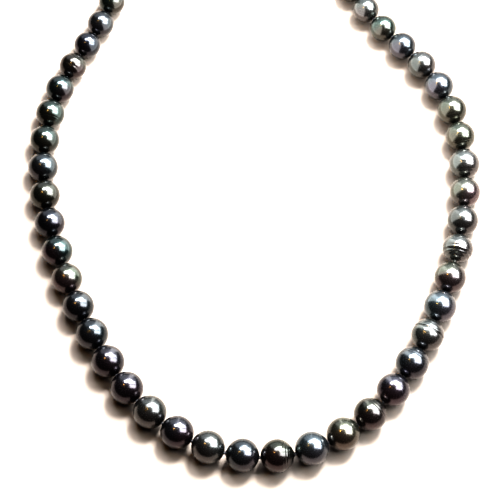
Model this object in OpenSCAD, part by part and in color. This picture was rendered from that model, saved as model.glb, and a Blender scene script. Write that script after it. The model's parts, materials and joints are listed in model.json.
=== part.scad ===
// Graduated necklace of round cultured pearls, hand knotted on silk, with a spring ring clasp.
// It lies unfastened on a table. +Z is up, the largest pearl is at -Y and the two ends are at +Y.

/* [Strand] */
// Diameter of the largest pearl, at the front of the strand
front_d = 10; // [9:0.1:11]
// Diameter of the smallest pearls, at the two ends
end_d = 8; // [7.5:0.1:9]
// How far a pearl's diameter may lie from the taper
d_spread = 0.05; // [0:0.01:0.06]
// Pearls on each side of the front pearl
side_count = 24; // [20:1:24]
// Angle between the front pearl's drill hole and the X axis
front_tilt = 6; // [0:1:10]

/* [Silk] */
// Space that each knot keeps between two pearls
knot_gap = 0.3; // [0.3:0.05:0.7]
// Diameter of a knot
knot_d = 1.1; // [1:0.05:1.2]
// Diameter of the thread inside a pearl
thread_d = 0.6; // [0.4:0.05:0.65]
// Diameter of the drilled hole
drill_d = 0.9; // [0.8:0.05:1]

/* [End loops] */
// Outer diameter of the French wire that sheathes each end loop
wire_d = 0.7; // [0.6:0.05:0.75]
// Bore of the French wire
wire_bore = 0.5; // [0.4:0.05:0.5]
// Radius of the loop's round end, at the middle of the wire
loop_r = 1; // [0.98:0.01:1.1]

/* [Clasp] */
// Radius of the spring ring, at the middle of its tube
ring_r = 4.75; // [4.6:0.05:5]
// Outer diameter of the ring's tube
tube_d = 2.5; // [2.4:0.05:2.6]
// Bore of the ring's tube
tube_bore = 1.9; // [1.8:0.05:2]
// Diameter of the sliding gate
gate_d = 1.6; // [1.5:0.05:1.7]
// Bore of the end ring that the gate closes through
end_ring_bore = 4.2; // [4:0.1:4.4]
// Outer diameter of the end ring
end_ring_d = 6.6; // [6.4:0.1:7]
// Thickness of the end ring
end_ring_t = 1; // [0.8:0.1:1.2]

/* [Hidden] */
$fn = 64;
LEFT = -1;
RIGHT = 1;

// Share of the difference between the front and the end diameter, by place from the front pearl
taper = [[0, 1], [6, 0.95], [9, 0.7], [12, 0.6], [15, 0.45], [18, 0.1], [24, 0]];
// Degrees that a pearl turns inward from the one before it, by place from the front pearl
left_bends = [[1, 14], [3, 12], [5, 9], [7, 4], [9, 3], [11, 4], [13, 6], [15, 8], [16, 9], [17, 7],
    [18, 1], [19, -4], [20, -6], [21, -3], [22, 5], [23, 14], [24, 21]];
right_bends = [[1, 14], [3, 11], [5, 7], [7, 4], [9, 4], [11, 5], [13, 7], [15, 11], [16, 10], [17, 4],
    [18, -2], [19, -7], [20, -8], [21, -4], [22, 4], [23, 14], [24, 21]];

// Surface rings round the drill axis: side, place, and where along the radius, positive towards the end
circles = [[RIGHT, 0, 0.45], [RIGHT, 0, 0.62], [LEFT, 15, -0.5], [LEFT, 17, -0.3], [LEFT, 17, 0.35],
    [RIGHT, 3, 0.5], [RIGHT, 3, 0.66], [RIGHT, 6, 0], [RIGHT, 9, -0.45], [RIGHT, 9, -0.62],
    [RIGHT, 12, -0.5], [RIGHT, 13, -0.55], [RIGHT, 14, 0.5]];
circle_depth = 0.08;
circle_r = 0.3;

knot_play = 0.05;
drill_over = 1;

function direction(a) = [cos(a), sin(a)];
function pearl_r(side, k) =
    (end_d + (front_d - end_d)*lookup(k, taper) + d_spread*sin(k*(137 + 20*side)))/2;
function reach(side, k) = pearl_r(side, k) + knot_gap/2;
function bend(side, k) = lookup(k, side == LEFT ? left_bends : right_bends);
function heading(side, k) = k == 0
    ? front_tilt + (side == LEFT ? 180 : 0)
    : heading(side, k - 1) + side*bend(side, k);
function route_centre(side, k) = k == 0
    ? [0, 0]
    : route_knot(side, k - 1) + reach(side, k)*direction(heading(side, k));
function route_knot(side, k) = route_centre(side, k) + reach(side, k)*direction(heading(side, k));

// Every knot lies at the mean height of the two pearls that it parts.
function knot_z(side, k) = k == side_count
    ? pearl_r(side, k)
    : (pearl_r(side, k) + pearl_r(side, k + 1))/2;
function inner_knot_z(side, k) = k == 0 ? knot_z(LEFT, 0) : knot_z(side, k - 1);
function centre_z(side, k) = (inner_knot_z(side, k) + knot_z(side, k))/2;

// The end loop lies in an upright plane. Its two legs lean together towards the last knot.
leg_lean = 8;
leg_end = wire_d/2 + 0.02;
leg_l = (loop_r*cos(leg_lean) - leg_end)/sin(leg_lean);
loop_l = loop_r*sin(leg_lean) + leg_l*cos(leg_lean) + knot_d/2 + knot_play;
rim_z = loop_r + wire_d/2 + 0.05;
core_d = wire_bore - 0.1;

// An eye is the small round ring that an end loop runs through. X = 0 is the middle of its near rim.
eye_r = 1.5;
eye_wire_d = 1;
eye_end = 2*eye_r + eye_wire_d/2;

// The spring ring's tube is open where the gate closes it. Angles run round the ring from +X.
ring_x = eye_end + ring_r + tube_d/2 - 0.3;
mouth_from = -15;
mouth_to = 30;
gate_grip = 5;
gate_arc = 100;
gate_travel = 50;
slot_from = 36;
slot_w = 0.8;
knob_at = 41;
knob_stem_d = 0.6;
knob_d = 1.2;
knob_r = ring_r + tube_d/2 + knob_d/2 + 0.1;
stop_at = 190;
stop_arc = 6;
spring_wall = 0.25;
spring_play = 0.5;
end_ring_x = eye_end + end_ring_d/2 - 0.5;

// How far the piece on an end loop dips below level, so that its far end rests on the table
function dip(half, far) = asin((rim_z - half)/far);
ring_dip = dip(tube_d/2, ring_x + ring_r);
end_ring_dip = dip(end_ring_t/2, end_ring_x + end_ring_d/2);

function end_heading(side) = heading(side, side_count);
function loop_dip(side) = asin((pearl_r(side, side_count) - rim_z)/loop_l);
function route_rim(side) =
    route_knot(side, side_count) + loop_l*cos(loop_dip(side))*direction(end_heading(side));

// The origin is the middle of the whole necklace's footprint, on the table.
ring_centre = route_rim(RIGHT) + ring_x*direction(end_heading(RIGHT));
discs = concat([for (side = [LEFT, RIGHT], k = [0:side_count]) [route_centre(side, k), pearl_r(side, k)]],
    [[ring_centre, ring_r + tube_d/2]]);
low = [for (i = [0, 1]) min([for (d = discs) d[0][i] - d[1]])];
high = [for (i = [0, 1]) max([for (d = discs) d[0][i] + d[1]])];
origin = (low + high)/2;

function flat(p) = p - origin;
function centre(side, k) = [each flat(route_centre(side, k)), centre_z(side, k)];
function knot(side, k) = [each flat(route_knot(side, k)), knot_z(side, k)];
function rim(side) = [each flat(route_rim(side)), rim_z];

function two_digits(i) = str(i < 10 ? "0" : "", i);
function pearl_name(side, k) = str("pearl_", two_digits(side_count + 1 + side*k));
PEARLS = concat([for (k = [side_count:-1:0]) [LEFT, k]], [for (k = [1:side_count]) [RIGHT, k]]);
FITTINGS = ["end_loop_left", "end_loop_right", "loop_silk_left", "loop_silk_right", "end_ring",
    "clasp_ring", "clasp_eye", "clasp_gate", "clasp_spring"];

module torus(r, d) {
    rotate_extrude() translate([r, 0]) circle(d = d);
}

// Part of a torus, from one angle to another
module bent_rod(r, d, from, to) {
    rotate([0, 0, from]) rotate_extrude(angle = to - from) translate([r, 0]) circle(d = d);
}

// Places children at a pearl, with X along its hole towards the strand's end
module on_hole(side, k) {
    tilt = asin((knot_z(side, k) - inner_knot_z(side, k))/(2*reach(side, k)));
    translate(centre(side, k)) rotate([0, -tilt, heading(side, k)]) children();
}

// A drilled pearl, turned about its hole. Each mouth is dished to seat a knot.
module bead(side, k) {
    rotate([0, 90, 0]) rotate_extrude() difference() {
        circle(r = pearl_r(side, k));
        translate([-front_d, -front_d]) square([front_d + drill_d/2, 2*front_d]);
        for (mouth = [-1, 1]) translate([0, mouth*reach(side, k)]) circle(d = knot_d + 2*knot_play);
        for (c = circles) if (c[0] == side && c[1] == k) surface_circle(pearl_r(side, k), c[2]);
    }
}

// The section of a shallow groove round the drill axis, as circled pearls have
module surface_circle(r, share) {
    translate([r*sqrt(1 - share*share) + circle_r - circle_depth, share*r]) circle(r = circle_r);
}

// The thread inside a pearl, with the knot at its outer end. The front pearl has a knot at both ends.
module silk(side, k) {
    r = reach(side, k);
    inner = k == 0 ? -r : -r + knot_d/2 + knot_play;
    translate([inner, 0, 0]) rotate([0, 90, 0]) cylinder(d = thread_d, h = r - inner);
    translate([r, 0, 0]) sphere(d = knot_d);
    if (k == 0) translate([-r, 0, 0]) sphere(d = knot_d);
}

module pearl(side, k) {
    on_hole(side, k) {
        color("#3c434b") bead(side, k);
        color("#23262b") silk(side, k);
    }
}

// A rod or a tube along the end loop, with the loop's round end at the origin and its legs towards -X
module loop_sweep(outer, bore = 0) {
    rotate([90, 0, 0]) {
        rotate([0, 0, -90 - leg_lean]) rotate_extrude(angle = 180 + 2*leg_lean)
            translate([loop_r, 0]) loop_section(outer, bore);
        for (side = [-1, 1]) rotate([0, 0, side*(90 + leg_lean)]) translate([loop_r, 0, 0])
            rotate([-90*side, 0, 0]) linear_extrude(leg_l) loop_section(outer, bore);
    }
}

module loop_section(outer, bore) {
    difference() {
        circle(d = outer);
        if (bore > 0) circle(d = bore);
    }
}

module on_end_loop(side) {
    translate(rim(side)) rotate([0, 0, end_heading(side)]) rotate([0, loop_dip(side), 0]) children();
}

module on_rim(side, dip) {
    translate(rim(side)) rotate([0, 0, end_heading(side)]) rotate([0, dip, 0]) children();
}

module end_loop(side) {
    color("#c9cbd0") on_end_loop(side) loop_sweep(wire_d, wire_bore);
}

module loop_silk(side) {
    color("#23262b") on_end_loop(side) loop_sweep(core_d);
}

module eye() {
    translate([eye_r, 0, 0]) torus(eye_r, eye_wire_d);
}

module end_ring() {
    color("silver") on_rim(LEFT, end_ring_dip) difference() {
        union() {
            eye();
            translate([end_ring_x, 0, 0]) cylinder(d = end_ring_d, h = end_ring_t, center = true);
        }
        translate([end_ring_x, 0, 0])
            cylinder(d = end_ring_bore, h = end_ring_t + drill_over, center = true);
    }
}

module at_ring() {
    on_rim(RIGHT, ring_dip) translate([ring_x, 0, 0]) children();
}

module clasp_ring() {
    color("silver") at_ring() {
        difference() {
            bent_rod(ring_r, tube_d, mouth_to, 360 + mouth_from);
            bent_rod(ring_r, tube_bore, mouth_to - 1, stop_at);
            bent_rod(ring_r, tube_bore, stop_at + stop_arc, 361 + mouth_from);
            gate_slot();
        }
    }
}

module gate_slot() {
    rotate([0, 0, slot_from]) rotate_extrude(angle = gate_travel + 2*(knob_at - slot_from))
        translate([ring_r + slot_w/2, -slot_w/2]) square([tube_d, slot_w]);
}

module clasp_eye() {
    color("silver") difference() {
        on_rim(RIGHT, ring_dip) eye();
        at_ring() torus(ring_r, tube_d);
    }
}

module clasp_gate() {
    color("silver") at_ring() {
        bent_rod(ring_r, gate_d, mouth_from - gate_grip, mouth_from - gate_grip + gate_arc);
        rotate([0, 0, knob_at]) {
            translate([ring_r, 0, 0]) rotate([0, 90, 0]) cylinder(d = knob_stem_d, h = knob_r - ring_r);
            translate([knob_r, 0, 0]) sphere(d = knob_d);
        }
    }
}

// The outer shape of the curved coil spring behind the gate
module clasp_spring() {
    from = mouth_from - gate_grip + gate_arc + spring_play;
    color("gray") at_ring() difference() {
        bent_rod(ring_r, gate_d, from, stop_at - spring_play);
        bent_rod(ring_r, gate_d - 2*spring_wall, from - 1, stop_at - spring_play + 1);
    }
}

for (p = PEARLS) pearl(p[0], p[1]);
end_loop(LEFT);  // end_loop_left
end_loop(RIGHT);  // end_loop_right
loop_silk(LEFT);  // loop_silk_left
loop_silk(RIGHT);  // loop_silk_right
end_ring();
clasp_ring();
clasp_eye();
clasp_gate();
clasp_spring();
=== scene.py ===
"""The looks of a graduated strand of dark round pearls, hand knotted on silk, with a spring ring clasp.

The strand lies unfastened on a pale floor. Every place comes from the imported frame: the hinge at each
silk knot gives the ends of the two pearls beside it, and each pearl's box gives its radius.
Lengths are in metres.
"""

import json
import math
import random

import bmesh
import bpy
from mathutils import Matrix, Vector, noise


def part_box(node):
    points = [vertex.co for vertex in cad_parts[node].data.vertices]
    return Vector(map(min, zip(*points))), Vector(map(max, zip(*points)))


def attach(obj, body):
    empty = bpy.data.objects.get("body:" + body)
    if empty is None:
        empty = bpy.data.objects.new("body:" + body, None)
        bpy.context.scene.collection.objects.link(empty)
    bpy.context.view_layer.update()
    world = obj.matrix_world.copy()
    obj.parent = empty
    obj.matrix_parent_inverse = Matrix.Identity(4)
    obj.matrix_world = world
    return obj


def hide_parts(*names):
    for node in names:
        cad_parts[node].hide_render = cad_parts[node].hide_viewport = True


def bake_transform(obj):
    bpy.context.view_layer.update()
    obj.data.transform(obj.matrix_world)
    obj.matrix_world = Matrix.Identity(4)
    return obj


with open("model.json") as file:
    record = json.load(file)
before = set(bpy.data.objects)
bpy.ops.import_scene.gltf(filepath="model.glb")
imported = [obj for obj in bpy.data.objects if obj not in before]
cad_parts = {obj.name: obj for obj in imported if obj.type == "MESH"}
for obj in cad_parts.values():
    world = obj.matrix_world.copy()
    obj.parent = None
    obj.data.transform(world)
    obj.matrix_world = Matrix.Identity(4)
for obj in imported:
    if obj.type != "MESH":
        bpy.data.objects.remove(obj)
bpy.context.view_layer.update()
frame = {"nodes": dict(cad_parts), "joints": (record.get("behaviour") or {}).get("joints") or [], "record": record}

MM = 0.001
PEARLS = 49
FRONT = 25

# Sizes of the small fittings, as the design has them
KNOT_R = 0.55 * MM
DISH_R = 0.60 * MM
DRILL_R = 0.45 * MM
THREAD_R = 0.30 * MM
WIRE_R = 0.35 * MM
LOOP_R = 1.0 * MM
LEG_LEAN = math.radians(8)
LEG_GAP = 0.02 * MM
EYE_R = 1.5 * MM
EYE_WIRE_R = 0.5 * MM
RING_R = 4.75 * MM
TUBE_R = 1.25 * MM
GATE_R = 0.8 * MM
GATE_FROM = math.radians(-20)
GATE_TO = math.radians(80)
KNOB_AT = math.radians(41)
KNOB_R = 0.6 * MM
SPRING_FROM = math.radians(80.5)
SPRING_TO = math.radians(189.5)
END_RING_R = 3.3 * MM
END_BORE_R = 2.1 * MM
END_RING_T = 1.0 * MM
END_GAP = 0.3 * MM
STEM_R = 0.3 * MM
STEM_CLEAR = 0.1 * MM

# Sizes that only the meshes here have
KNOT_CLEAR = 0.05 * MM
COIL_WIRE_R = 0.055 * MM
COIL_PITCH = 0.125 * MM
LOOP_SILK_R = 0.2 * MM
SPRING_WIRE_R = 0.11 * MM
SPRING_PITCH = 0.42 * MM
# The angle from the knob's stem at which its ball begins
KNOB_FROM = 0.55
# Where a lathed profile meets its axis, so that no two vertices are in one place
POINT_R = 0.0001 * MM

# The camera looks steeply down at the loop through a long lens
CAMERA_ELEVATION = math.radians(65)
CAMERA_DISTANCE = 0.9
CAMERA_WIDTH = 0.1497
LOOK_FROM_FRONT_PEARL = Vector((-8.0, 66.1, -0.5)) * MM
SENSOR = 36

FLOOR_R = 0.45
LIGHT_DISTANCE = 1.1

joints = {j["name"]: j for j in frame["joints"]}


# ---------------------------------------------------------------- places


def knot_at(i):
    """The hinge point of knot i, between pearl i and pearl i + 1."""
    for kind in ("swing", "lift"):
        j = joints.get(f"knot_{i:02d}_{kind}")
        if j:
            return Vector(j["pos_m"])
    return None


def pearl_places():
    """Each pearl's number, centre, radius, reach to its knots, and axis from the front towards its end."""
    places = {}
    for i in range(1, PEARLS + 1):
        low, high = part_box(f"pearl_{i:02d}")
        radius = (high[2] - low[2]) / 2
        before, after = knot_at(i - 1), knot_at(i)
        if before is None or after is None:
            inner = after if before is None else before
            fitting = joints["end_ring_tip" if i == 1 else "clasp_turn"]["pos_m"]
            axis = Vector((fitting[0] - inner[0], fitting[1] - inner[1], 0)).normalized()
            reach = radius + places[i - 1]["gap"] / 2 if i > 1 else radius + END_GAP / 2
            centre = inner + axis * reach
            centre.z = (low[2] + high[2]) / 2
        else:
            centre = (before + after) / 2
            axis = (after - before).normalized()
            reach = (after - before).length / 2
            if i < FRONT:
                axis.negate()
        places[i] = {"i": i, "centre": centre, "radius": radius, "reach": reach, "axis": axis}
        places[i]["gap"] = 2 * (reach - radius)
    return places


places = pearl_places()


def basis(axis, up=Vector((0, 0, 1))):
    """A matrix whose X is axis and whose Z is as near to up as it can be."""
    x = axis.normalized()
    y = up.cross(x).normalized()
    return Matrix((x, y, x.cross(y))).transposed()


# ---------------------------------------------------------------- mesh helpers


def piece(name, verts, faces, material, body, slot, replaces=()):
    """A smooth mesh piece that rides on a body, or on none when it bends between two."""
    mesh = bpy.data.meshes.new(name)
    mesh.from_pydata(verts, [], faces)
    mesh.polygons.foreach_set("use_smooth", [True] * len(faces))
    mesh.materials.append(material)
    mesh.update()
    obj = bpy.data.objects.new(name, mesh)
    bpy.context.scene.collection.objects.link(obj)
    if body:
        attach(obj, body)
    if replaces:
        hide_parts(*replaces)
    return obj


def ring_faces(rows, sides, closed=False):
    """Quads between successive rings of vertices, and from the last ring to the first when closed."""
    faces = []
    for r in range(rows if closed else rows - 1):
        a, b = r * sides, (r + 1) % rows * sides
        for s in range(sides):
            t = (s + 1) % sides
            faces.append((a + s, a + t, b + t, b + s))
    return faces


def path_runs(points):
    """The direction of an open path at each of its points."""
    last = len(points) - 1
    return [(points[min(n + 1, last)] - points[max(n - 1, 0)]).normalized() for n in range(last + 1)]


def sweep(points, radius, sides, closed=False, section=None):
    """Rings of vertices along points, with flat caps when open. section(u, angle) gives the radius there."""
    count = len(points)
    if closed:
        runs = [(points[(n + 1) % count] - points[n - 1]).normalized() for n in range(count)]
    else:
        runs = path_runs(points)
    side = runs[0].orthogonal().normalized()
    verts = []
    for n, (point, run) in enumerate(zip(points, runs)):
        side = (side - run * side.dot(run)).normalized()
        across = run.cross(side)
        for s in range(sides):
            angle = math.tau * s / sides
            reach = section(n / (count - 1), angle) if section else radius
            verts.append(point + (side * math.cos(angle) + across * math.sin(angle)) * reach)
    faces = ring_faces(count, sides, closed=closed)
    if not closed:
        faces.append(tuple(reversed(range(sides))))
        faces.append(tuple(range((count - 1) * sides, count * sides)))
    return verts, faces


def joined(parts):
    """Several vertex and face lists as one."""
    verts, faces = [], []
    for part_verts, part_faces in parts:
        start = len(verts)
        verts += part_verts
        faces += [tuple(v + start for v in face) for face in part_faces]
    return verts, faces


def moved(part, matrix):
    """A part's vertices put through a matrix, with its faces as they are."""
    return [matrix @ v for v in part[0]], part[1]


def lathe(profile, sides):
    """An open profile of (x, radius) turned about X."""
    verts = []
    for x, radius in profile:
        for s in range(sides):
            angle = math.tau * s / sides
            verts.append(Vector((x, radius * math.cos(angle), radius * math.sin(angle))))
    return verts, ring_faces(len(profile), sides)


def heading_frame(up, heading):
    """A matrix whose Z is up and whose X is as near to the heading as it can be."""
    x = (heading - up * heading.dot(up)).normalized()
    return Matrix((x, up.cross(x), up)).transposed().to_4x4()


# ---------------------------------------------------------------- materials


class Nodes:
    """A short way to build a node tree."""

    def __init__(self, name):
        self.material = bpy.data.materials.new(name)
        self.material.use_nodes = True
        self.tree = self.material.node_tree
        self.shader = next(n for n in self.tree.nodes if n.type == "BSDF_PRINCIPLED")
        self.where = self.tree.nodes.new("ShaderNodeTexCoord")

    def link(self, source, target):
        self.tree.links.new(source, target)

    def set(self, **values):
        """Uniform values on the shader's own sockets, such as coat_weight=0.6."""
        for name, value in values.items():
            socket = name.replace("_", " ").title().replace("Ior", "IOR")
            self.shader.inputs[socket].default_value = value

    def noise(self, scale, detail, roughness=0.5, distortion=0.0):
        n = self.tree.nodes.new("ShaderNodeTexNoise")
        n.inputs["Scale"].default_value = scale
        n.inputs["Detail"].default_value = detail
        n.inputs["Roughness"].default_value = roughness
        n.inputs["Distortion"].default_value = distortion
        self.link(self.where.outputs["Object"], n.inputs["Vector"])
        return n.outputs["Fac"]

    def dot(self, direction):
        """How far the surface faces a direction, from -1 to 1."""
        n = self.tree.nodes.new("ShaderNodeVectorMath")
        n.operation = "DOT_PRODUCT"
        n.inputs[1].default_value = direction
        self.link(self.where.outputs["Normal"], n.inputs[0])
        return n.outputs["Value"]

    def spread(self, value, low, high, to_low=0.0, to_high=1.0):
        """A value between low and high stretched smoothly over another range."""
        n = self.tree.nodes.new("ShaderNodeMapRange")
        n.interpolation_type = "SMOOTHSTEP"
        ends = (("From Min", low), ("From Max", high), ("To Min", to_low), ("To Max", to_high))
        for key, end in ends:
            n.inputs[key].default_value = end
        self.link(value, n.inputs["Value"])
        return n.outputs["Result"]

    def mix(self, factor, one, other):
        """One colour turning into another as the factor goes from 0 to 1."""
        n = self.tree.nodes.new("ShaderNodeMix")
        n.data_type = "RGBA"
        self.link(factor, n.inputs["Factor"])
        for colour, socket in ((one, n.inputs[6]), (other, n.inputs[7])):
            if isinstance(colour, tuple):
                socket.default_value = (*colour, 1)
            else:
                self.link(colour, socket)
        return n.outputs[2]

    def bump(self, height, distance):
        n = self.tree.nodes.new("ShaderNodeBump")
        n.inputs["Distance"].default_value = distance
        self.link(height, n.inputs["Height"])
        self.link(n.outputs["Normal"], self.shader.inputs["Normal"])

    def colour(self, value):
        self.link(value, self.shader.inputs["Base Color"])

    def rough(self, value):
        self.link(value, self.shader.inputs["Roughness"])


# Body, overtone and blush of each kind of dark pearl, in linear colour, for a pearl of middling lightness
TONES = {
    "ink": ((0.085, 0.095, 0.125), (0.060, 0.085, 0.120), (0.120, 0.090, 0.130)),
    "green": ((0.080, 0.115, 0.095), (0.060, 0.120, 0.110), (0.130, 0.110, 0.090)),
    "peacock": ((0.075, 0.110, 0.120), (0.050, 0.125, 0.120), (0.150, 0.085, 0.110)),
    "brown": ((0.115, 0.095, 0.085), (0.080, 0.105, 0.080), (0.160, 0.100, 0.115)),
    "bronze": ((0.130, 0.115, 0.090), (0.100, 0.120, 0.090), (0.160, 0.115, 0.090)),
    "steel": ((0.100, 0.115, 0.135), (0.090, 0.120, 0.140), (0.125, 0.105, 0.135)),
    "purple": ((0.110, 0.095, 0.125), (0.090, 0.100, 0.130), (0.150, 0.090, 0.115)),
    "silver": ((0.125, 0.130, 0.130), (0.115, 0.135, 0.130), (0.140, 0.125, 0.125)),
    "blue": ((0.105, 0.125, 0.145), (0.090, 0.130, 0.150), (0.130, 0.120, 0.150)),
    "rose": ((0.128, 0.112, 0.115), (0.118, 0.138, 0.108), (0.175, 0.122, 0.132)),
    "wine": ((0.102, 0.086, 0.090), (0.092, 0.115, 0.084), (0.165, 0.100, 0.108)),
    "olive": ((0.115, 0.120, 0.095), (0.100, 0.125, 0.100), (0.135, 0.125, 0.095)),
}
# The kind of each pearl, from the left end round the front to the right end
STRAND_TONES = (
    "steel green ink peacock green steel "
    "ink brown peacock green green blue olive ink peacock brown "
    "steel blue purple purple silver purple silver steel wine blue "
    "bronze wine purple steel silver blue rose silver silver rose silver olive olive "
    "blue silver blue green "
    "silver olive steel rose blue silver"
).split()
# How light the strand is at some of its pearls, by number, and evenly between them
LIGHTNESS_ALONG = (
    (1, 0.32), (8, 0.28), (16, 0.24), (21, 0.28), (26, 0.31), (31, 0.44), (37, 0.60), (44, 0.55), (49, 0.52)
)
# How light some pearls are against their neighbours
LIGHTER = {
    7: 0.8, 11: 1.0, 14: 0.85, 15: 1.15, 16: 1.8, 17: 0.9, 21: 1.45, 22: 1.0,
    23: 1.6, 24: 1.25, 25: 1.0, 26: 1.9, 27: 1.65, 28: 1.15, 29: 1.0, 30: 1.05,
    31: 1.4, 32: 1.35, 33: 1.0, 34: 1.35, 35: 1.0, 36: 1.1, 37: 1.2, 42: 0.8,
}
# Pearls whose skin is a little crinkled
UNEVEN = {18, 30, 34, 35, 37, 38, 39, 41, 42, 45}
EVEN, CRINKLED = 0.05 * MM, 0.10 * MM


def along(table, x):
    """The value at x on straight lines between (place, value) pairs."""
    for (x0, y0), (x1, y1) in zip(table, table[1:]):
        if x <= x1:
            return y0 + (y1 - y0) * (x - x0) / (x1 - x0)
    return table[-1][1]


def greyed(tone, amount, light):
    """A tone moved part of the way to its own grey, and scaled."""
    grey = sum(tone) / 3
    return tuple((c + (grey - c) * amount) * light for c in tone)


def nacre(i):
    """Dark lustrous nacre: a deep mirror body with soft patches of overtone, and a clear glossy skin."""
    rng = random.Random(i)
    light = along(LIGHTNESS_ALONG, i) * LIGHTER.get(i, rng.uniform(0.92, 1.08))
    body, over, blush = (greyed(t, 0.2, light) for t in TONES[STRAND_TONES[i - 1]])
    n = Nodes(f"nacre_{i:02d}")
    inward = Vector((-places[i]["centre"].x, -places[i]["centre"].y, 0)).normalized()
    side = (inward + Vector((rng.uniform(-0.5, 0.5), rng.uniform(-0.5, 0.5), 0.35))).normalized()
    sway = Vector((rng.uniform(-0.6, 0.6), rng.uniform(-0.3, 0.3), 0))
    flush = (Vector((0, -0.8, 0.35)) + sway).normalized()
    patches = n.noise(150 + rng.uniform(-20, 20), detail=3, distortion=0.6)
    veil = n.spread(n.dot(side), -0.5, 0.8)
    colour = n.mix(veil, body, over)
    colour = n.mix(n.spread(n.dot(flush), 0.35, 1.0, 0, 0.9), colour, blush)
    deep = tuple(c * 0.55 for c in body)
    colour = n.mix(n.spread(patches, 0.35, 0.75, 0.0, 0.55), colour, deep)
    n.colour(colour)
    grain = n.noise(2600, detail=4, roughness=0.6)
    n.rough(n.spread(grain, 0.3, 0.8, 0.23, 0.30))
    n.bump(n.noise(330, detail=3), CRINKLED if i in UNEVEN else EVEN)
    n.set(metallic=0.92, coat_weight=0.6, coat_roughness=0.15, coat_ior=1.5, specular_ior_level=0.5)
    return n.material


def silk():
    """Dark silk with a fine fibre and a little sheen."""
    n = Nodes("silk_thread")
    n.colour(n.mix(n.noise(4200, detail=3), (0.012, 0.012, 0.015), (0.045, 0.045, 0.052)))
    n.rough(n.spread(n.noise(2500, detail=2), 0.3, 0.7, 0.5, 0.75))
    n.bump(n.noise(9000, detail=3, roughness=0.7), 0.02 * MM)
    n.set(sheen_weight=0.25, sheen_roughness=0.4, specular_ior_level=0.35)
    return n.material


def silver(name, tint, rough_low, rough_high, wear_scale):
    """Polished silver with faint handling marks and a trace of darker tarnish."""
    n = Nodes(name)
    dull = tuple(c * 0.72 for c in tint)
    n.colour(n.mix(n.spread(n.noise(600, detail=4), 0.5, 0.85, 0, 0.6), tint, dull))
    wear = n.noise(wear_scale, detail=3, roughness=0.7)
    n.rough(n.spread(wear, 0.3, 0.75, rough_low, rough_high))
    n.bump(n.noise(wear_scale * 2, detail=2), 0.004 * MM)
    n.set(metallic=1.0)
    return n.material


SILK = silk()
SILVER = silver("polished_silver", (0.45, 0.445, 0.435), 0.14, 0.26, 1400)
WIRE = silver("wire_silver", (0.38, 0.375, 0.365), 0.22, 0.36, 4000)
STEEL = silver("spring_steel", (0.36, 0.355, 0.35), 0.25, 0.42, 3000)


# ---------------------------------------------------------------- pearls

# Circled pearls: pearl number to rings of (place along the axis towards the end, depth in mm, width,
# step beyond it in mm). Places and widths are parts of the radius.
CIRCLES = {
    5: ((0.30, 0.06, 0.035, 0.02),),
    8: ((-0.32, 0.05, 0.070, 0.0), (0.38, 0.06, 0.080, 0.05)),
    10: ((-0.50, 0.06, 0.035, 0.02), (-0.64, 0.05, 0.030, 0.0)),
    25: (
        (0.32, 0.07, 0.045, 0.04), (0.48, 0.10, 0.045, 0.05),
        (0.63, 0.08, 0.040, 0.04), (0.76, 0.06, 0.035, 0.02),
    ),
    28: ((0.36, 0.07, 0.045, 0.03), (0.54, 0.09, 0.045, 0.04), (0.70, 0.07, 0.040, 0.03)),
    30: ((0.30, 0.05, 0.040, 0.0),),
    31: ((0.10, 0.27, 0.055, 0.0), (0.30, 0.04, 0.040, 0.0)),
    34: (
        (-0.12, 0.07, 0.050, 0.03), (-0.38, 0.16, 0.065, 0.10),
        (-0.62, 0.15, 0.055, 0.08), (0.34, 0.04, 0.040, 0.0),
    ),
    37: ((-0.70, 0.09, 0.045, 0.04), (-0.30, 0.03, 0.035, 0.0)),
    38: ((-0.66, 0.08, 0.045, 0.04), (0.30, 0.03, 0.035, 0.0)),
    39: ((0.48, 0.05, 0.030, 0.02), (0.62, 0.05, 0.030, 0.02)),
    41: ((0.20, 0.04, 0.030, 0.0),),
    45: ((-0.40, 0.06, 0.035, 0.03),),
}
# Off-round pearls: pearl number to (how much shorter along the axis, how much narrower at the outer end)
OFF_ROUND = {15: (0.0, 0.02), 24: (0.015, 0.03), 28: (0.01, 0.03), 34: (0.03, -0.02)}
AROUND = 64
ROWS = 54
RINGED_ROWS = 120
DISH_ROWS = 3
# How much the skin rolls, as a part of the radius, and how large the rolls are
SKIN_ROLL = 0.006
ROLL_SCALE = 1.3
# The angles over which the skin runs out to the true sphere by each mouth
RIM_STEP = 0.012
RIM_FADE = 0.12
# How far a ring strays along the axis, slowly and quickly, and how much its depth varies
RING_STRAY = 0.02
RING_WOBBLE = 0.008
RING_VARIES = 0.45


def skin(i, x, angle, radius, seed):
    """How far the nacre's surface lies from the true sphere at a place along the axis, in metres."""
    sideways = math.sqrt(max(0.0, 1 - x * x))
    where = Vector((x, sideways * math.cos(angle), sideways * math.sin(angle))) * ROLL_SCALE + seed
    off = radius * SKIN_ROLL * (noise.noise(where) - 0.35)
    for place, depth, width, step in CIRCLES.get(i, ()):
        stray = RING_STRAY * math.sin(angle + seed.x) + RING_WOBBLE * math.sin(3 * angle + seed.y)
        around = Vector((math.cos(angle), math.sin(angle), place * 5)) * 1.2 + seed
        strength = 1 + RING_VARIES * noise.noise(around)
        past = x - place - stray
        off -= depth * MM * strength * math.exp(-((past / width) ** 2))
        beyond = past * (1 if place > 0 else -1)
        off -= step * MM / (1 + math.exp(-beyond / (width * 0.5)))
    shorter, narrower = OFF_ROUND.get(i, (0.0, 0.0))
    off -= radius * shorter * x * x
    off -= radius * max(0.0, narrower * x) * 0.8
    return off


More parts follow.
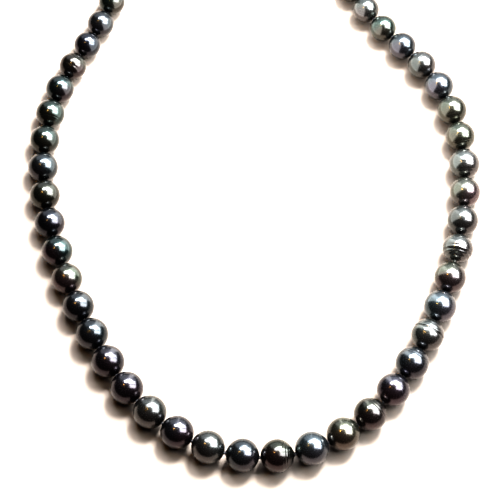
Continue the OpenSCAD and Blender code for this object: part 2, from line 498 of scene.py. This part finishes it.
def pearl_mesh(place):
    """One closed drilled pearl about X: the skin, a dish at each mouth, and the drill hole between them."""
    i, radius, reach = place["i"], place["radius"], place["reach"]
    seed = Vector((i * 7.31, i * 3.17, i * 1.93))
    rows = RINGED_ROWS if i in CIRCLES else ROWS
    rim_x = (reach**2 + radius**2 - DISH_R**2) / (2 * reach)
    rim_angle = math.acos(rim_x / radius)
    turns = [rim_angle + (math.pi - 2 * rim_angle) * n / (rows - 1) for n in range(rows)]
    turns = [turns[0], turns[0] + RIM_STEP, *turns[1:-1], turns[-1] - RIM_STEP, turns[-1]]
    verts = []
    for turn in turns:
        x = math.cos(turn)
        fade = min(1.0, (turn - rim_angle) / RIM_FADE, (math.pi - rim_angle - turn) / RIM_FADE)
        for s in range(AROUND):
            angle = math.tau * s / AROUND
            r = radius + skin(i, x, angle, radius, seed) * max(0.0, fade)
            out = r * math.sin(turn)
            verts.append(Vector((r * x, out * math.cos(angle), out * math.sin(angle))))
    tunnel = []
    throat = math.asin(DRILL_R / DISH_R)
    edge = math.asin(min(1.0, radius * math.sin(rim_angle) / DISH_R))
    for sign in (-1, 1):
        bowl = [edge + (throat - edge) * n / DISH_ROWS for n in range(1, DISH_ROWS + 1)]
        mouth = [(sign * (reach - DISH_R * math.cos(b)), DISH_R * math.sin(b)) for b in bowl]
        tunnel += mouth if sign < 0 else mouth[::-1]
    verts += lathe(tunnel, AROUND)[0]
    return verts, ring_faces(len(turns) + len(tunnel), AROUND, closed=True)


def knot_mesh(seed):
    """A tight overhand knot of doubled silk, as a three-lobed torus knot that fits the knot's ball."""
    strand_r = 0.145 * MM
    wide, deep = 0.245 * MM, 0.155 * MM
    count = 96
    points = []
    for n in range(count):
        t = math.tau * n / count
        out = wide + deep * math.cos(3 * t)
        turn = 2 * t + seed
        points.append(Vector((deep * math.sin(3 * t), out * math.cos(turn), out * math.sin(turn))))
    return sweep(points, strand_r, sides=8, closed=True)


def twisted(points, radius, turns):
    """Two plies of silk laid round each other along points."""

    def lobe(u, angle):
        return radius * (0.80 + 0.20 * abs(math.cos(angle - math.pi * turns * u)))

    return sweep(points, radius, sides=14, section=lobe)


def line(start, end, count):
    """Evenly spaced points from start to end."""
    return [start.lerp(end, n / (count - 1)) for n in range(count)]


def make_pearl(i):
    """A pearl, its stretch of thread, and the knot at its outer end. The front pearl has both its knots."""
    place = places[i]
    reach = place["reach"]
    body = f"link_{i:02d}"
    to_row = Matrix.Translation(place["centre"]) @ basis(place["axis"]).to_4x4()
    bead = moved(pearl_mesh(place), to_row)
    piece(f"nacre_bead_{i:02d}", *bead, nacre(i), body, "nacre", [f"pearl_{i:02d}"])
    start = -reach if i == FRONT else -reach + KNOT_R + KNOT_CLEAR
    thread = twisted(line(Vector((start, 0, 0)), Vector((reach, 0, 0)), 60), THREAD_R, turns=9)
    piece(f"silk_thread_{i:02d}", *moved(thread, to_row), SILK, body, "silk")
    for name, sign in (("outer", 1), ("inner", -1)) if i == FRONT else (("outer", 1),):
        knot = moved(knot_mesh(i * 1.7), to_row @ Matrix.Translation((sign * reach, 0, 0)))
        piece(f"silk_knot_{i:02d}_{name}", *knot, SILK, body, "silk")


for number in range(1, PEARLS + 1):
    make_pearl(number)

# ---------------------------------------------------------------- end fittings


def loop_path(on_leg=40, on_turn=60):
    """The end loop's middle line: a leg, the round end at the origin, and the other leg, in the XZ plane."""
    wide = math.pi / 2 + LEG_LEAN
    leg = (LOOP_R * math.cos(LEG_LEAN) - WIRE_R - LEG_GAP) / math.sin(LEG_LEAN)
    points = []
    for sign in (1, -1):
        start = Vector((LOOP_R * math.cos(wide), 0, sign * LOOP_R * math.sin(wide)))
        run = Vector((-math.cos(LEG_LEAN), 0, -sign * math.sin(LEG_LEAN)))
        side = [start + run * leg * (1 - n / on_leg) for n in range(on_leg)]
        points += side if sign > 0 else side[::-1]
        if sign > 0:
            turn = (wide * (1 - 2 * n / on_turn) for n in range(on_turn + 1))
            points += [Vector((LOOP_R * math.cos(a), 0, LOOP_R * math.sin(a))) for a in turn]
    return points


def evenly(points, count):
    """The same path with evenly spaced points."""
    lengths = [0.0]
    for a, b in zip(points, points[1:]):
        lengths.append(lengths[-1] + (b - a).length)
    out, k = [], 0
    for n in range(count):
        want = lengths[-1] * n / (count - 1)
        while k < len(points) - 2 and lengths[k + 1] < want:
            k += 1
        span = lengths[k + 1] - lengths[k]
        out.append(points[k].lerp(points[k + 1], (want - lengths[k]) / span if span else 0))
    return out


def coil(points, radius, wire_r, pitch, per_turn, sides):
    """A helix of wire round a path."""
    length = sum((b - a).length for a, b in zip(points, points[1:]))
    turns = length / pitch
    path = evenly(points, int(turns * per_turn) + 1)
    side = (path[1] - path[0]).orthogonal().normalized()
    out = []
    for n, (point, run) in enumerate(zip(path, path_runs(path))):
        side = (side - run * side.dot(run)).normalized()
        angle = math.tau * n / per_turn
        out.append(point + (side * math.cos(angle) + run.cross(side) * math.sin(angle)) * radius)
    return sweep(out, wire_r, sides)


def end_frame(side):
    """Where an end loop's round end is, and the direction that it points in."""
    rim = Vector(joints["end_ring_tip"]["pos_m"])
    heading = places[1 if side == "left" else PEARLS]["axis"].copy()
    heading.z = 0
    heading.normalize()
    if side == "right":
        height = rim.z
        rim = Vector(joints["clasp_turn"]["pos_m"]) - heading * EYE_R
        rim.z = height
    return rim, heading


def make_end_loop(side, last):
    """The French wire of an end loop and the silk inside it."""
    rim, _ = end_frame(side)
    place = places[last]
    knot = place["centre"] + place["axis"] * place["reach"]
    run = (rim - knot).normalized()
    to_row = Matrix.Translation(rim) @ basis(run).to_4x4()
    path = loop_path()
    body = f"link_{last:02d}"
    wire = moved(coil(path, WIRE_R - COIL_WIRE_R, COIL_WIRE_R, COIL_PITCH, per_turn=12, sides=6), to_row)
    piece(f"french_wire_{side}", *wire, WIRE, body, "silver_wire", [f"end_loop_{side}"])
    core = moved(twisted(evenly(path, 150), LOOP_SILK_R, turns=16), to_row)
    piece(f"loop_silk_ply_{side}", *core, SILK, body, "silk", [f"loop_silk_{side}"])


make_end_loop("left", 1)
make_end_loop("right", PEARLS)


def arc(radius, start, end, count):
    """Points along an arc about Z."""
    steps = (start + (end - start) * n / (count - 1) for n in range(count))
    return [Vector((radius * math.cos(a), radius * math.sin(a), 0)) for a in steps]


def rounded_rod(bend_r, rod_r, start, end):
    """A rod with domed ends, bent about Z."""
    taper = rod_r / bend_r / (end - start)
    tip = 0.02

    def section(u, _angle):
        near = min(u, 1 - u)
        if near >= taper:
            return rod_r
        return rod_r * math.sqrt(max(tip**2, 1 - (1 - near / taper) ** 2))

    return sweep(arc(bend_r, start, end, 160), rod_r, sides=20, section=section)


def gate_knob():
    """The gate's knob on its stem, along X: a ball with ribs to grip."""
    length = TUBE_R + STEM_CLEAR + KNOB_R
    rows, rib_waves, rib_depth = 15, 9, 0.035
    profile = [(0.0, POINT_R), (0.0, STEM_R), (length - KNOB_R * 0.8, STEM_R)]
    for n in range(1, rows + 1):
        a = math.pi * n / rows
        grip = KNOB_R * (1 + rib_depth * math.cos(rib_waves * a))
        if a > KNOB_FROM:
            profile.append((length - math.cos(a) * grip, math.sin(a) * grip + POINT_R))
    return lathe(profile, sides=28)


def make_clasp():
    """The gate, its knob and its spring. The ring's tube and its eye are the design's own."""
    _, heading = end_frame("right")
    slide = joints["gate_slide"]
    to_row = Matrix.Translation(Vector(slide["pos_m"])) @ heading_frame(Vector(slide["axis"]), heading)
    gate = rounded_rod(RING_R, GATE_R, GATE_FROM, GATE_TO)
    out = Matrix.Rotation(KNOB_AT, 4, "Z") @ Matrix.Translation((RING_R, 0, 0))
    body = joined([gate, moved(gate_knob(), out)])
    piece("gate_rod_and_knob", *moved(body, to_row), SILVER, "gate_link", "silver", ["clasp_gate"])
    path = arc(RING_R, SPRING_FROM, SPRING_TO, 240)
    turns = coil(path, GATE_R - SPRING_WIRE_R, SPRING_WIRE_R, SPRING_PITCH, per_turn=16, sides=8)
    spring = moved(turns, to_row)
    wire = piece("gate_coil_spring", *spring, STEEL, None, "steel", ["clasp_spring"])
    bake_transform(wire)


def round_ring(radius, wide, thick, around, sides):
    """A closed ring about Z whose section is an oval."""
    verts = []
    for n in range(around):
        turn = math.tau * n / around
        for s in range(sides):
            angle = math.tau * s / sides
            r = radius + wide * math.cos(angle)
            verts.append(Vector((r * math.cos(turn), r * math.sin(turn), thick * math.sin(angle))))
    return verts, ring_faces(around, sides, closed=True)


def make_end_ring():
    """The end ring and the small eye that hangs in the loop."""
    rim, heading = end_frame("left")
    mount = next(m for m in frame["record"]["mounts"] if m["name"] == "end_ring_bore")
    centre, up = Vector(mount["pos_m"]), Vector(mount["axis"]).normalized()
    if up.z < 0:
        up.negate()
    level = heading_frame(up, heading)
    out = level @ Vector((EYE_R, 0, 0))
    wide, thick = (END_RING_R - END_BORE_R) / 2, END_RING_T / 2
    band = round_ring(END_BORE_R + wide, wide, thick, around=96, sides=24)
    eye = round_ring(EYE_R, EYE_WIRE_R, EYE_WIRE_R, around=64, sides=18)
    body = joined([
        moved(band, Matrix.Translation(centre) @ level),
        moved(eye, Matrix.Translation(rim + out) @ level),
    ])
    piece("end_ring_and_eye", *body, SILVER, "end_ring_link", "silver", ["end_ring"])


make_clasp()
make_end_ring()

for node_name in ("clasp_ring", "clasp_eye"):
    node = frame["nodes"][node_name]
    node.data.materials.clear()
    node.data.materials.append(SILVER)

# ---------------------------------------------------------------- floor, lights and camera


def make_floor():
    """A pale round floor under the strand."""
    bm = bmesh.new()
    bmesh.ops.create_circle(bm, cap_ends=True, segments=96, radius=FLOOR_R)
    mesh = bpy.data.meshes.new("pale_floor")
    bm.to_mesh(mesh)
    bm.free()
    n = Nodes("pale_floor")
    n.colour(n.mix(n.noise(3, detail=2), (0.163, 0.143, 0.127), (0.167, 0.147, 0.131)))
    n.set(roughness=0.75, specular_ior_level=0.2)
    mesh.materials.append(n.material)
    floor = bpy.data.objects.new("pale_floor", mesh)
    bpy.context.scene.collection.objects.link(floor)


def from_camera(right, up, toward):
    """A direction given as the camera sees it: right, up and towards the camera."""
    sin, cos = math.sin(CAMERA_ELEVATION), math.cos(CAMERA_ELEVATION)
    return Vector((right, up * sin - toward * cos, up * cos + toward * sin)).normalized()


def area_light(name, way, distance, size, power, colour, offset=0.0):
    """A rectangular light that faces the middle of the strand, moved sideways by offset."""
    data = bpy.data.lights.new(name, "AREA")
    data.shape = "RECTANGLE"
    data.size, data.size_y = size
    data.energy = power
    data.color = colour
    lamp = bpy.data.objects.new(name, data)
    bpy.context.scene.collection.objects.link(lamp)
    turn = way.to_track_quat("Z", "Y").to_matrix()
    lamp.matrix_world = Matrix.Translation(way * distance + turn @ Vector((offset, 0, 0))) @ turn.to_4x4()
    return lamp


def make_lights():
    """A window of two panes, a bright key, soft light from above, a small warm lamp and two low cards."""
    window = from_camera(0.62, 0.40, 0.67)
    pane, daylight = (0.46, 0.95), (0.97, 0.99, 1.0)
    area_light("window_near", window, LIGHT_DISTANCE, pane, 18.0, daylight, -0.27)
    area_light("window_far", window, LIGHT_DISTANCE, pane, 18.0, daylight, 0.27)
    key = from_camera(0.30, 0.76, 0.60)
    area_light("key", key, LIGHT_DISTANCE, (0.36, 0.36), 70.0, (1.0, 0.98, 0.96))
    softbox = from_camera(-0.12, 0.74, 0.66)
    area_light("top_softbox", softbox, LIGHT_DISTANCE, (0.40, 0.30), 14.0, (0.97, 0.98, 1.0))
    glow = from_camera(0.10, 0.97, 0.10)
    area_light("top_glow", glow, 1.2, (2.4, 1.0), 11.0, (0.93, 0.95, 1.0))
    warm = from_camera(-0.35, 0.36, 0.86)
    area_light("warm_lamp", warm, 1.0, (0.045, 0.045), 1.1, (1.0, 0.55, 0.15))
    for name, side, power in (("inner_card_left", -1, 0.13), ("inner_card_right", 1, 0.11)):
        card = area_light(name, Vector((-side, 0, 0)), 0.0, (0.10, 0.13), power, (1.0, 0.97, 0.93))
        card.location = (side * 0.012, 0.02, 0.058)
        card.visible_camera = False


def make_world():
    """A dim warm room round the strand, and plain white behind it in the picture."""
    world = bpy.data.worlds.new("room")
    bpy.context.scene.world = world
    world.use_nodes = True
    tree = world.node_tree
    dark = tree.nodes["Background"]
    dark.inputs["Color"].default_value = (1.0, 0.80, 0.62, 1)
    dark.inputs["Strength"].default_value = 0.06
    pale = tree.nodes.new("ShaderNodeBackground")
    pale.inputs["Color"].default_value = (1, 1, 1, 1)
    path = tree.nodes.new("ShaderNodeLightPath")
    mix = tree.nodes.new("ShaderNodeMixShader")
    tree.links.new(path.outputs["Is Camera Ray"], mix.inputs["Fac"])
    tree.links.new(dark.outputs[0], mix.inputs[1])
    tree.links.new(pale.outputs[0], mix.inputs[2])
    tree.links.new(mix.outputs[0], tree.nodes["World Output"].inputs["Surface"])


def make_camera():
    """A long lens, CAMERA_WIDTH wide at its target."""
    data = bpy.data.cameras.new("camera")
    data.sensor_width = SENSOR
    data.lens = SENSOR * CAMERA_DISTANCE / CAMERA_WIDTH
    data.clip_start, data.clip_end = 0.01, 20
    camera = bpy.data.objects.new("camera", data)
    bpy.context.scene.collection.objects.link(camera)
    target = places[FRONT]["centre"] + LOOK_FROM_FRONT_PEARL
    way = Vector((0, -math.cos(CAMERA_ELEVATION), math.sin(CAMERA_ELEVATION)))
    turn = way.to_track_quat("Z", "Y").to_matrix().to_4x4()
    camera.matrix_world = Matrix.Translation(target + way * CAMERA_DISTANCE) @ turn
    bpy.context.scene.camera = camera


make_floor()
make_lights()
make_world()
make_camera()
bpy.context.scene.view_settings.view_transform = "Standard"
bpy.context.scene.view_settings.look = "Very High Contrast"
